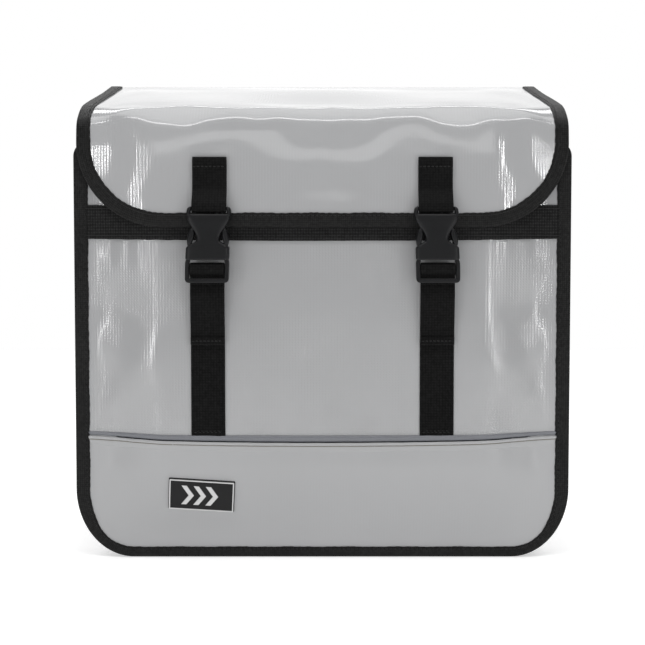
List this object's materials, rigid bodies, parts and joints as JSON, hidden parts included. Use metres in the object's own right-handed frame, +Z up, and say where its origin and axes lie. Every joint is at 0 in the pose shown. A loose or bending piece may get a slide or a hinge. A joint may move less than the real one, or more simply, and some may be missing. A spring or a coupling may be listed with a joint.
{
  "type": "bicycle pannier bag",
  "caption": "Boxy coated-fabric pannier bag with bound edges, a lid flap held by two side-release buckles, and a hook rail and swivelling claw on its back.",
  "frame": {"origin": "under the middle of the whole, buckles and hooks included, on the surface that the bag stands on", "axes": "+Z up; -Y is the front with the buckles, +Y the back with the rack hooks; +X to the right as seen from the front"},
  "size_m": [0.369, 0.2291, 0.3672],
  "materials": {
    "tarpaulin": "glossy coated fabric, pale grey",
    "tape": "ribbed black binding tape",
    "webbing": "woven black webbing",
    "buckle_plastic": "moulded black plastic",
    "reflective": "reflective grey piping",
    "patch_rubber": "moulded rubber",
    "board": "stiff plastic board",
    "rail_metal": "anodised",
    "steel": "zinc plated"
  },
  "bodies": {
    "bag": {"back_edge_binding": "tape", "back_panel": "tarpaulin", "back_stiffener": "board", "badge": "patch_rubber", "base_board": "board", "claw_base": "buckle_plastic", "claw_nut": "steel", "claw_screw": "steel", "flap_seam_webbing": "webbing", "front_edge_binding": "tape", "front_lower_panel": "tarpaulin", "front_rim_binding": "tape", "front_upper_panel": "tarpaulin", "gusset": "tarpaulin", "hook_rail": "rail_metal", "left_rim_binding": "tape", "lower_strap_left": "webbing", "lower_strap_right": "webbing", "mouth_webbing": "webbing", "rail_nut_left": "steel", "rail_nut_right": "steel", "rail_screw_left": "steel", "rail_screw_right": "steel", "reflective_piping": "reflective", "right_rim_binding": "tape"},
    "flap": {"flap_panel": "tarpaulin", "flap_edge_binding": "tape", "upper_strap_left": "webbing", "upper_strap_right": "webbing", "buckle_socket_left": "buckle_plastic", "buckle_socket_right": "buckle_plastic"},
    "clip_left": {"buckle_clip_left": "buckle_plastic", "strap_loop_left": "webbing"},
    "clip_right": {"buckle_clip_right": "buckle_plastic", "strap_loop_right": "webbing"},
    "prong_left_inner": {"clip_prong_left_inner": "buckle_plastic"},
    "prong_left_outer": {"clip_prong_left_outer": "buckle_plastic"},
    "prong_right_inner": {"clip_prong_right_inner": "buckle_plastic"},
    "prong_right_outer": {"clip_prong_right_outer": "buckle_plastic"},
    "tail_left": {"strap_tail_left": "webbing"},
    "tail_right": {"strap_tail_right": "webbing"},
    "rack_hook_left": {"hook_left": "buckle_plastic", "latch_pin_left": "steel"},
    "rack_hook_right": {"hook_right": "buckle_plastic", "latch_pin_right": "steel"},
    "latch_left": {"hook_latch_left": "buckle_plastic"},
    "latch_right": {"hook_latch_right": "buckle_plastic"},
    "claw": {"claw_arm": "buckle_plastic"}
  },
  "joints": [
    {"name": "flap_hinge", "type": "hinge", "parent": "bag", "child": "flap", "pos_m": [0, 0.07795, 0.3654], "axis": [-1, 0, 0], "range_deg": [0, 160]},
    {"name": "clip_left_slide", "type": "slide", "parent": "bag", "child": "clip_left", "axis": [0, 0, -1], "range_m": [0, 0.025]},
    {"name": "clip_right_slide", "type": "slide", "parent": "bag", "child": "clip_right", "axis": [0, 0, -1], "range_m": [0, 0.025]},
    {"name": "prong_left_inner_squeeze", "type": "hinge", "parent": "clip_left", "child": "prong_left_inner", "pos_m": [-0.0724, -0.10975, 0.2232], "axis": [0, 1, 0], "range_deg": [-11.6, 0]},
    {"name": "prong_left_outer_squeeze", "type": "hinge", "parent": "clip_left", "child": "prong_left_outer", "pos_m": [-0.0936, -0.10975, 0.2232], "axis": [0, 1, 0], "range_deg": [0, 11.6]},
    {"name": "prong_right_inner_squeeze", "type": "hinge", "parent": "clip_right", "child": "prong_right_inner", "pos_m": [0.0724, -0.10975, 0.2232], "axis": [0, 1, 0], "range_deg": [0, 11.6]},
    {"name": "prong_right_outer_squeeze", "type": "hinge", "parent": "clip_right", "child": "prong_right_outer", "pos_m": [0.0936, -0.10975, 0.2232], "axis": [0, 1, 0], "range_deg": [-11.6, 0]},
    {"name": "tail_left_slide", "type": "slide", "parent": "clip_left", "child": "tail_left", "axis": [0, 0, -1], "range_m": [0, 0.025]},
    {"name": "tail_right_slide", "type": "slide", "parent": "clip_right", "child": "tail_right", "axis": [0, 0, -1], "range_m": [0, 0.025]},
    {"name": "hook_left_slide", "type": "slide", "parent": "bag", "child": "rack_hook_left", "axis": [1, 0, 0], "range_m": [-0.03, 0.045]},
    {"name": "hook_right_slide", "type": "slide", "parent": "bag", "child": "rack_hook_right", "axis": [1, 0, 0], "range_m": [-0.045, 0.03]},
    {"name": "latch_left_hinge", "type": "hinge", "parent": "rack_hook_left", "child": "latch_left", "pos_m": [-0.075, 0.09575, 0.291], "axis": [-1, 0, 0], "range_deg": [0, 60], "stiffness_Nm_per_rad": 0.02, "springref_deg": -17.19},
    {"name": "latch_right_hinge", "type": "hinge", "parent": "rack_hook_right", "child": "latch_right", "pos_m": [0.075, 0.09575, 0.291], "axis": [-1, 0, 0], "range_deg": [0, 60], "stiffness_Nm_per_rad": 0.02, "springref_deg": -17.19},
    {"name": "claw_swivel", "type": "hinge", "parent": "bag", "child": "claw", "pos_m": [0.06, 0.084, 0.078], "axis": [0, 1, 0], "range_deg": [-90, 90]}
  ],
  "couplings": [
    {"joint": "prong_left_inner_squeeze", "follows": "clip_left_slide", "rad_per_m": -8},
    {"joint": "prong_left_outer_squeeze", "follows": "clip_left_slide", "rad_per_m": 8},
    {"joint": "prong_right_inner_squeeze", "follows": "clip_right_slide", "rad_per_m": 8},
    {"joint": "prong_right_outer_squeeze", "follows": "clip_right_slide", "rad_per_m": -8},
    {"joint": "tail_left_slide", "follows": "clip_left_slide", "ratio": 1},
    {"joint": "tail_right_slide", "follows": "clip_right_slide", "ratio": 1}
  ]
}
